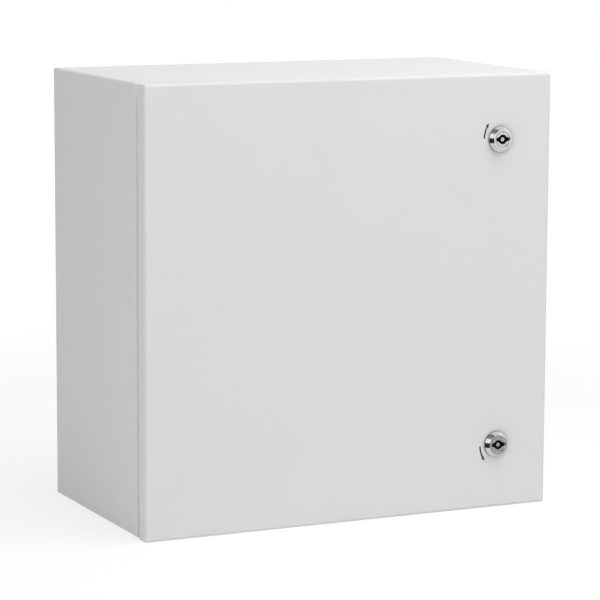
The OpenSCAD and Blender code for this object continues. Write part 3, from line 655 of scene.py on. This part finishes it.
class ThreadSettings(bpy.types.PropertyGroup):
    m8_pitch: FloatProperty(name="M8 Pitch", description="Pitch of the mounting plate studs",
                            default=0.00125, min=0.0005, max=0.002, unit="LENGTH", precision=5)
    m6_pitch: FloatProperty(name="M6 Pitch", description="Pitch of the gland plate and earth studs",
                            default=0.001, min=0.0005, max=0.002, unit="LENGTH", precision=5)
    m5_pitch: FloatProperty(name="M5 Pitch", description="Pitch of the hinge leaf studs",
                            default=0.0008, min=0.0005, max=0.002, unit="LENGTH", precision=5)
    barrel_pitch: FloatProperty(name="Barrel Pitch", description="Pitch of the lock barrels",
                                default=0.0015, min=0.0008, max=0.003, unit="LENGTH", precision=5)


class StageSettings(bpy.types.PropertyGroup):
    focal_length: FloatProperty(name="Focal Length", description="Lens of the camera",
                                default=169.32, min=20, max=400)
    yaw: FloatProperty(name="Yaw", description="How far the camera looks to the right of +Y",
                       default=math.radians(25.372), subtype="ANGLE")
    pitch: FloatProperty(name="Pitch", description="How far the camera looks down",
                         default=math.radians(8.723), subtype="ANGLE")
    roll: FloatProperty(name="Roll", description="Turn of the camera about its own view",
                        default=math.radians(0.2475), subtype="ANGLE")
    camera_place: FloatVectorProperty(name="Camera", description="Where the camera stands",
                                      subtype="TRANSLATION", default=(-1.3850, -3.0594, 0.4794))
    left_power: FloatProperty(name="Left Lamp", description="Power of the lamp on the hinge side",
                              default=47.5, min=0, max=500, unit="POWER")
    top_power: FloatProperty(name="Top Lamp", description="Power of the lamp above",
                             default=57.0, min=0, max=500, unit="POWER")
    front_power: FloatProperty(name="Front Lamp", description="Power of the near lamp high in front",
                               default=7.0, min=0, max=500, unit="POWER")
    back_power: FloatProperty(name="Back Lamp", description="Power of the lamp behind",
                              default=28.0, min=0, max=500, unit="POWER")
    sky: FloatProperty(name="Sky", description="Level of the even light from all round",
                       default=0.18, min=0, max=2)
    floor_shadow: FloatProperty(name="Floor Shadow", description="Share of the shadow that shows",
                                default=0.28, min=0, max=1, subtype="FACTOR")


SETTINGS = {"enclosure_paint": PaintSettings, "enclosure_metal": MetalSettings,
            "enclosure_seals": SealSettings, "enclosure_arrows": ArrowSettings,
            "enclosure_threads": ThreadSettings, "enclosure_stage": StageSettings}


# ---------------------------------------------------------------- operators


class ENCLOSURE_OT_shared_effects(bpy.types.Operator):
    """Build the effects that several finishes share"""
    bl_idname = "enclosure.shared_effects"
    bl_label = "Shared Effects"

    def execute(self, context):
        build_mottle_group()
        build_orange_peel_group()
        build_handling_marks_group()
        build_spangle_group()
        build_lock_distance_group()
        return {"FINISHED"}


class ENCLOSURE_OT_painted_sheet(bpy.types.Operator):
    """Powder coat the case, its front frame, its rear panel, the door and the gland plate"""
    bl_idname = "enclosure.painted_sheet"
    bl_label = "Painted Sheet"

    def execute(self, context):
        paint = powder_coat(context.scene.enclosure_paint)
        for name in nodes_of("enclosure_paint"):
            dress(name, paint)
        return {"FINISHED"}


class ENCLOSURE_OT_bare_metal(bpy.types.Operator):
    """Finish the galvanised, zinc-plated, steel, brass and chrome nodes"""
    bl_idname = "enclosure.bare_metal"
    bl_label = "Bare Metal"

    def execute(self, context):
        metals = context.scene.enclosure_metal
        finishes = {"galvanised_steel": galvanised_sheet(metals),
                    "zinc_plated_steel": zinc_plate(metals), "stud_steel": stud_steel(metals),
                    "earth_brass": turned_brass(metals), "lock_chrome": chrome_casting(metals)}
        for slot_name, material in finishes.items():
            for name in nodes_of(slot_name):
                dress(name, material)
        insert = lock_insert(metals)
        for side in SIDES:
            dress(f"{side}_lock_rotor", insert)
        return {"FINISHED"}


class ENCLOSURE_OT_seals(bpy.types.Operator):
    """Finish the foamed gaskets and the rubber seals under the lock heads"""
    bl_idname = "enclosure.seals"
    bl_label = "Seals"

    def execute(self, context):
        seals = context.scene.enclosure_seals
        foam, rubber = foam_strip(seals), moulded_rubber(seals)
        for name in nodes_of("gasket_foam"):
            dress(name, foam)
        for name in nodes_of("lock_rubber"):
            dress(name, rubber)
        return {"FINISHED"}


class ENCLOSURE_OT_turning_arrows(bpy.types.Operator):
    """Print an arrow beside each lock that shows which way it opens"""
    bl_idname = "enclosure.turning_arrows"
    bl_label = "Turning Arrows"

    def execute(self, context):
        s = context.scene.enclosure_arrows
        ink = printed_ink(s)
        front = box_of("door_panel")[0][1]
        for side, start, way in (("upper", s.upper_start, 1), ("lower", s.lower_start, -1)):
            centre = box_of(f"{side}_lock_housing")[2]
            shell = arrow_shell(s, centre, front, start, way)
            piece = make_piece(f"{side}_turning_arrow", [shell], "door", smooth_deg=20)
            piece.data.materials.append(ink)
        return {"FINISHED"}


def arrow_shell(s, centre, front, start, way):
    """Curved arrow beside a lock: a ribbon whose distance from the lock grows with the
    square of its angle, its half width that of the line up to the head and then
    falling straight to a point. The section is a flat rectangle on the door's face."""
    head_angle = s.head_length / s.point_radius
    along = np.concatenate([np.linspace(0, s.sweep - head_angle, 40),
                            np.linspace(s.sweep - head_angle + 1e-4, s.sweep, 12)])
    left = np.clip((s.sweep - along) / head_angle, 0.004, None)
    half = np.where(along <= s.sweep - head_angle, s.width / 2, left * s.head_width / 2)
    middle = s.tail_radius + (s.point_radius - s.tail_radius) * (along / s.sweep) ** 2
    angle = np.pi - way * (start + along)
    radius = middle[:, None] + half[:, None] * np.array([-1, 1, 1, -1])[None, :]
    depth = front - s.thickness * np.array([0, 0, 1, 1])[None, :]
    points = np.stack([centre[0] + radius * np.cos(angle)[:, None],
                       np.broadcast_to(depth, radius.shape),
                       centre[2] + radius * np.sin(angle)[:, None]], -1).reshape(-1, 3)
    last = 4 * (len(along) - 1)
    ends = np.array([[0, 1, 2, 3], [last + 3, last + 2, last + 1, last]])
    faces = np.concatenate([quads(len(along), 4), ends])
    return points, outward(points, faces)


class ENCLOSURE_OT_lock_bodies(bpy.types.Operator):
    """Make each lock's cast head and its threaded barrel with two flats"""
    bl_idname = "enclosure.lock_bodies"
    bl_label = "Lock Bodies"

    def execute(self, context):
        pitch = context.scene.enclosure_threads.barrel_pitch
        chrome = bpy.data.materials["chrome_casting"]
        for side in SIDES:
            shell = lock_body_shell(side, pitch)
            piece = make_piece(f"{side}_lock_body", [shell], "door", "lock_chrome",
                               [f"{side}_lock_housing"])
            piece.data.materials.append(chrome)
        return {"FINISHED"}


def lock_body_shell(side, pitch):
    """Head and barrel of a lock, as one profile loop carried round the lock's axis:
    bore, flat land, a crowned flank that is an arc from the land's edge to the top of
    the rim, and the barrel, whose radius is the smaller of the thread's and the
    distance to the nearer of two flats."""
    low, high, centre = box_of(f"{side}_lock_housing")
    seal_low, seal_high, _ = box_of(f"{side}_lock_seal")
    rotor_low = box_of(f"{side}_lock_rotor")[0]
    front, rear = low[1], high[1]
    rim_r, land_r, crown_r, rim_h = (high[0] - low[0]) / 2, 0.0113, 0.016, 0.0008
    barrel_r, flat_half, bore_r, shaft_r = 0.011, 0.010, 0.00885, 0.00705
    chamfer = 0.0005
    under = seal_low[1] - front
    run, rise = rim_r - land_r, under - rim_h
    chord = math.hypot(run, rise)
    back = math.sqrt(crown_r ** 2 - (chord / 2) ** 2) / chord
    arc_r, arc_z = land_r + run / 2 - back * rise, rise / 2 + back * run
    turn = np.linspace(math.atan2(arc_z, land_r - arc_r),
                       math.atan2(arc_z - rise, rim_r - arc_r), 14)
    thread_from, thread_to = seal_high[1] - front, rear - front
    rows = int((thread_to - thread_from) / pitch * 8)
    step = rotor_low[1] - front + 0.0101
    radii = [bore_r, bore_r + chamfer, *(arc_r + crown_r * np.cos(turn)), rim_r, rim_r - 0.0002,
             barrel_r, *([barrel_r] * rows), shaft_r, shaft_r, bore_r]
    heights = [chamfer, 0.0, *(arc_z - crown_r * np.sin(turn)), under - 0.0002, under, under,
               *np.linspace(thread_from, thread_to, rows), thread_to, step, step]
    is_barrel = np.array([0] * (2 + len(turn) + 3) + [1] * rows + [0] * 3)[:, None]

    def shape(r, z, angle):
        cut = thread_radius(r, z, angle, pitch, 0.5 * pitch, thread_from)
        cut = np.minimum(cut, barrel_r - 0.6 * pitch + (thread_to - z))
        cut = np.minimum(cut, flat_half / np.maximum(np.abs(np.cos(angle)), 1e-3))
        return np.where(is_barrel == 1, cut, r)

    return set_at(revolved(radii, heights, 144, shape), (0, 1, 0), (centre[0], front, centre[2]))


class ENCLOSURE_OT_studs(bpy.types.Operator):
    """Make the weld studs with their threads and collars"""
    bl_idname = "enclosure.studs"
    bl_label = "Threaded Studs"

    def execute(self, context):
        t = context.scene.enclosure_threads
        steel, brass = bpy.data.materials["stud_steel"], bpy.data.materials["turned_brass"]
        for name, body, slot_name, material, shells in stud_groups(t):
            piece = make_piece(f"{name}_threaded", shells, body, slot_name, [name])
            piece.data.materials.append(material)
        return {"FINISHED"}


def stud_groups(t):
    """For each group of studs: its node, body, slot, and its shells. Places come from
    the nodes' boxes, in from whose sides the outer studs stand by their radius."""
    steel, brass = bpy.data.materials["stud_steel"], bpy.data.materials["turned_brass"]
    low, high, _ = box_of("mounting_plate_studs")
    plate_low = box_of("mounting_plate")[1][1]
    base_r, length = 0.011, high[1] - low[1]
    collar = high[1] - plate_low
    shell = threaded_stud(length, 0.008, t.m8_pitch, collar,
                          ((base_r, 0), (base_r, 0.0015), (base_r - 0.0005, 0.002), (0.007, 0.002),
                           (0.007, collar)))
    places = [(x, high[1], z) for x in (low[0] + base_r, high[0] - base_r)
              for z in (low[2] + base_r, high[2] - base_r)]
    yield ("mounting_plate_studs", "case", "stud_steel", steel,
           [set_at(shell, (0, -1, 0), p) for p in places])

    low, high, mid = box_of("gland_plate_studs")
    shell = threaded_stud(high[2] - low[2], 0.006, t.m6_pitch, 0.0)
    places = [(x, y, low[2]) for x in (low[0] + 0.003, mid[0], high[0] - 0.003)
              for y in (low[1] + 0.003, high[1] - 0.003)]
    yield ("gland_plate_studs", "case", "stud_steel", steel,
           [set_at(shell, (0, 0, 1), p) for p in places])

    low, high, mid = box_of("door_hinge_studs")
    shell = threaded_stud(high[1] - low[1], 0.005, t.m5_pitch, 0.0)
    reach = high[2] - 0.0025 - box_of("upper_hinge_door_leaf")[2][2]
    places = [(mid[0], low[1], box_of(f"{side}_hinge_door_leaf")[2][2] + end * reach)
              for side in SIDES for end in (-1, 1)]
    yield ("door_hinge_studs", "door", "stud_steel", steel,
           [set_at(shell, (0, 1, 0), p) for p in places])

    for name, body, axis in (("case_earth_stud", "case", (1, 0, 0)),
                             ("door_earth_stud", "door", (0, 1, 0))):
        low, high, mid = box_of(name)
        along = int(np.argmax(np.abs(axis)))
        length = high[along] - low[along]
        shell = threaded_stud(length, 0.006, t.m6_pitch, 0.003, ((0.006, 0), (0.006, 0.003)))
        foot = mid.copy()
        foot[along] = low[along]
        yield name, body, "earth_brass", brass, [set_at(shell, axis, foot)]


class ENCLOSURE_OT_nuts(bpy.types.Operator):
    """Make the chamfered hexagon nuts, flange nuts and lock fixing nuts"""
    bl_idname = "enclosure.nuts"
    bl_label = "Hexagon Nuts"

    def execute(self, context):
        zinc = bpy.data.materials["zinc_plate"]
        for name, body, shells in nut_groups():
            piece = make_piece(f"{name}_chamfered", shells, body, "zinc_plated_steel", [name],
                               smooth_deg=25)
            piece.data.materials.append(zinc)
        return {"FINISHED"}


def nut_groups():
    """For each group of nuts: its node, body and shells, placed from the nodes' boxes."""
    low, high, _ = box_of("mounting_plate_nuts")
    flat, corner = 0.0065, 0.0065 * 2 / math.sqrt(3)
    shell = hexagon_nut(0.013, high[1] - low[1], 0.004)
    places = [(x, high[1], z) for x in (low[0] + corner, high[0] - corner)
              for z in (low[2] + flat, high[2] - flat)]
    yield "mounting_plate_nuts", "case", [set_at(shell, (0, -1, 0), p) for p in places]

    low, high, mid = box_of("gland_plate_nuts")
    nut, flange = hexagon_nut(0.010, high[2] - low[2], 0.003), flat_ring(0.006, 0.003, 0.0016, 0.0003)
    places = [(x, y, low[2]) for x in (low[0] + 0.006, mid[0], high[0] - 0.006)
              for y in (low[1] + 0.006, high[1] - 0.006)]
    yield ("gland_plate_nuts", "case",
           [set_at(shell, (0, 0, 1), p) for p in places for shell in (nut, flange)])

    low, high, mid = box_of("door_hinge_nuts")
    stud_low, stud_high, stud_mid = box_of("door_hinge_studs")
    shell = hexagon_nut(0.008, high[1] - low[1], 0.0025)
    reach = stud_high[2] - 0.0025 - box_of("upper_hinge_door_leaf")[2][2]
    places = [(stud_mid[0], low[1], box_of(f"{side}_hinge_door_leaf")[2][2] + end * reach)
              for side in SIDES for end in (-1, 1)]
    yield "door_hinge_nuts", "door", [set_at(shell, (0, 1, 0), p) for p in places]

    for name, body, axis, across in (("case_earth_nut", "case", (1, 0, 0), 0.010),
                                     ("door_earth_nut", "door", (0, 1, 0), 0.010),
                                     ("upper_lock_nut", "door", (0, 1, 0), 0.027),
                                     ("lower_lock_nut", "door", (0, 1, 0), 0.027)):
        low, high, mid = box_of(name)
        along = int(np.argmax(np.abs(axis)))
        foot = mid.copy()
        foot[along] = low[along]
        bore = 0.011 if "lock" in name else 0.003
        corner_at = math.radians(30) if along == 0 else 0.0
        shell = hexagon_nut(across, high[along] - low[along], bore, corner_at)
        yield name, body, [set_at(shell, axis, foot)]


class ENCLOSURE_OT_stage(bpy.types.Operator):
    """Set up the pale floor, the soft light and the camera"""
    bl_idname = "enclosure.stage"
    bl_label = "Stage"

    def execute(self, context):
        s = context.scene.enclosure_stage
        make_floor(s)
        make_light(s)
        make_camera(s)
        view = context.scene.view_settings
        view.view_transform = "Standard"
        return {"FINISHED"}


def make_floor(s):
    """White floor that shows to the camera as white less a share of the shadow, a
    share that fades out with the distance from the middle."""
    half, z = 4.0, CAD_BOX[0][2] - 0.0002
    mesh = bpy.data.meshes.new("floor")
    mesh.from_pydata([(-half, -half, z), (half, -half, z), (half, half, z), (-half, half, z)], [],
                     [(0, 1, 2, 3)])
    floor = bpy.data.objects.new("floor", mesh)
    floor.visible_glossy = False
    bpy.context.scene.collection.objects.link(floor)
    material = bpy.data.materials.new("pale_floor")
    material.use_nodes = True
    tree = material.node_tree
    tree.nodes.clear()
    diffuse = put(tree, "ShaderNodeBsdfDiffuse", {"Color": (0.9, 0.9, 0.9, 1)})
    white = put(tree, "ShaderNodeEmission", {"Color": (1, 1, 1, 1), "Strength": 1.04})
    seen = put(tree, "ShaderNodeLightPath").outputs["Is Camera Ray"]
    away = put(tree, "ShaderNodeVectorMath",
               {0: put(tree, "ShaderNodeTexCoord").outputs["Object"]}, operation="LENGTH").outputs[1]
    share = maths(tree, "MULTIPLY", seen, spread(tree, away, 0.7, 1.5, 1 - s.floor_shadow, 1.0))
    both = put(tree, "ShaderNodeMixShader", {0: share, 1: diffuse.outputs[0], 2: white.outputs[0]})
    output = put(tree, "ShaderNodeOutputMaterial")
    tree.links.new(both.outputs[0], output.inputs["Surface"])
    mesh.materials.append(material)


def between(tree, value, low, high, soft):
    """One between two angles in degrees and nought outside them, with soft ends."""
    low, high, soft = math.radians(low), math.radians(high), math.radians(soft)
    rise = spread(tree, value, low - soft, low + soft, 0.0, 1.0)
    fall = spread(tree, value, high - soft, high + soft, 1.0, 0.0)
    return maths(tree, "MULTIPLY", rise, fall)


# Flags that only gloss sees: lowest and highest elevation, lowest and highest angle
# from the front round to the hinge side, softness of their edges, all in degrees,
# and how much of the white they take away.
FLAGS = ((-31, 5, 28, 130, 2.0, 0.98),
         (36, 74, 4, 125, 4.0, 0.74),
         (50, 100, -190, 190, 4.0, 0.28),
         (-34, -7, -110, 25, 3.0, 0.62),
         (-22, 16, -133, -88, 3.0, 0.55),
         (-100, -36, -190, 190, 4.0, 0.30))


# Soft lamps: name, its power's setting, direction from the middle, width and distance.
LAMPS = (("left_lamp", "left_power", (-0.76, -0.64, 0.12), 2.4, 3.0),
         ("top_lamp", "top_power", (0.15, -0.30, 0.94), 2.4, 3.0),
         ("front_lamp", "front_power", (0.55, -0.45, 0.75), 1.5, 1.2),
         ("back_lamp", "back_power", (0.40, 0.90, 0.20), 2.4, 3.0))


def make_light(s):
    """Even light from all round and four soft lamps. The world is white where the
    camera looks, and white with dark flags where gloss looks, as in a studio."""
    world = bpy.data.worlds.new("studio")
    world.use_nodes = True
    tree = world.node_tree
    tree.nodes.clear()
    parts = put(tree, "ShaderNodeSeparateXYZ",
                {0: put(tree, "ShaderNodeTexCoord").outputs["Generated"]})
    elevation = maths(tree, "ARCSINE", parts.outputs["Z"])
    bearing = maths(tree, "ARCTAN2", maths(tree, "MULTIPLY", parts.outputs["X"], -1.0),
                    maths(tree, "MULTIPLY", parts.outputs["Y"], -1.0))
    left = 1.0
    for low, high, first, last, soft, depth in FLAGS:
        here = maths(tree, "MULTIPLY", between(tree, elevation, low, high, soft),
                     between(tree, bearing, first, last, 2 * soft))
        left = maths(tree, "MULTIPLY", left, maths(tree, "MULTIPLY_ADD", here, -depth, 1.0))
    path = put(tree, "ShaderNodeLightPath")
    level = put(tree, "ShaderNodeMapRange", {0: path.outputs["Is Glossy Ray"], 3: s.sky, 4: left})
    level = put(tree, "ShaderNodeMapRange", {0: path.outputs["Is Camera Ray"],
                                             3: level.outputs[0], 4: 1.0})
    ground = put(tree, "ShaderNodeBackground", {"Color": (1, 1, 1, 1),
                                                "Strength": level.outputs[0]})
    output = put(tree, "ShaderNodeOutputWorld")
    tree.links.new(ground.outputs[0], output.inputs["Surface"])
    bpy.context.scene.world = world

    for name, setting, towards, size, distance in LAMPS:
        lamp = bpy.data.lights.new(name, "AREA")
        lamp.shape, lamp.size, lamp.energy = "SQUARE", size, getattr(s, setting)
        light = bpy.data.objects.new(name, lamp)
        towards = np.array(towards) / np.linalg.norm(towards)
        light.matrix_world = looking(LAMP_AIM + distance * towards, -towards)
        light.visible_glossy = False
        bpy.context.scene.collection.objects.link(light)


def looking(place, forward):
    """Matrix of something at a place whose -z axis points forward, with z up."""
    forward = forward / np.linalg.norm(forward)
    right = np.cross(forward, [0, 0, 1])
    right /= np.linalg.norm(right)
    up = np.cross(right, forward)
    return Matrix([[right[i], up[i], -forward[i], place[i]] for i in range(3)] + [[0, 0, 0, 1]])


def make_camera(s):
    """Camera from its yaw, pitch and roll: forward is the yaw direction tipped down by
    the pitch, and right and up are turned about it by the roll."""
    forward = np.array([math.sin(s.yaw) * math.cos(s.pitch), math.cos(s.yaw) * math.cos(s.pitch),
                        -math.sin(s.pitch)])
    right = np.array([math.cos(s.yaw), -math.sin(s.yaw), 0])
    up = np.cross(right, forward)
    right, up = (right * math.cos(s.roll) + up * math.sin(s.roll),
                 up * math.cos(s.roll) - right * math.sin(s.roll))
    data = bpy.data.cameras.new("camera")
    data.lens, data.sensor_width = s.focal_length, 36.0
    data.clip_start, data.clip_end = 0.1, 50.0
    camera = bpy.data.objects.new("camera", data)
    place = s.camera_place
    camera.matrix_world = Matrix([[right[i], up[i], -forward[i], place[i]] for i in range(3)]
                                 + [[0, 0, 0, 1]])
    bpy.context.scene.collection.objects.link(camera)
    bpy.context.scene.camera = camera


class ENCLOSURE_PT_panel(bpy.types.Panel):
    """Lists the enclosure's steps and settings"""
    bl_label = "Steel Wall Enclosure"
    bl_idname = "ENCLOSURE_PT_panel"
    bl_space_type = "VIEW_3D"
    bl_region_type = "UI"
    bl_category = "Enclosure"

    def draw(self, context):
        for step in STEPS:
            self.layout.operator(step.bl_idname, text=step.bl_label)
        for name in SETTINGS:
            settings = getattr(context.scene, name)
            column = self.layout.column(align=True)
            for field in settings.__annotations__:
                column.prop(settings, field)


STEPS = (ENCLOSURE_OT_stage, ENCLOSURE_OT_shared_effects, ENCLOSURE_OT_painted_sheet,
         ENCLOSURE_OT_bare_metal, ENCLOSURE_OT_seals, ENCLOSURE_OT_turning_arrows,
         ENCLOSURE_OT_lock_bodies, ENCLOSURE_OT_studs, ENCLOSURE_OT_nuts)
CLASSES = (*SETTINGS.values(), *STEPS, ENCLOSURE_PT_panel)


def register():
    for cls in CLASSES:
        bpy.utils.register_class(cls)
    for name, cls in SETTINGS.items():
        setattr(bpy.types.Scene, name, PointerProperty(type=cls))


def unregister():
    for name in SETTINGS:
        delattr(bpy.types.Scene, name)
    for cls in reversed(CLASSES):
        bpy.utils.unregister_class(cls)


def main():
    """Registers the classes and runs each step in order."""
    register()
    bpy.ops.enclosure.stage()
    bpy.ops.enclosure.shared_effects()
    bpy.ops.enclosure.painted_sheet()
    bpy.ops.enclosure.bare_metal()
    bpy.ops.enclosure.seals()
    bpy.ops.enclosure.turning_arrows()
    bpy.ops.enclosure.lock_bodies()
    bpy.ops.enclosure.studs()
    bpy.ops.enclosure.nuts()


if __name__ == "__main__":
    main()
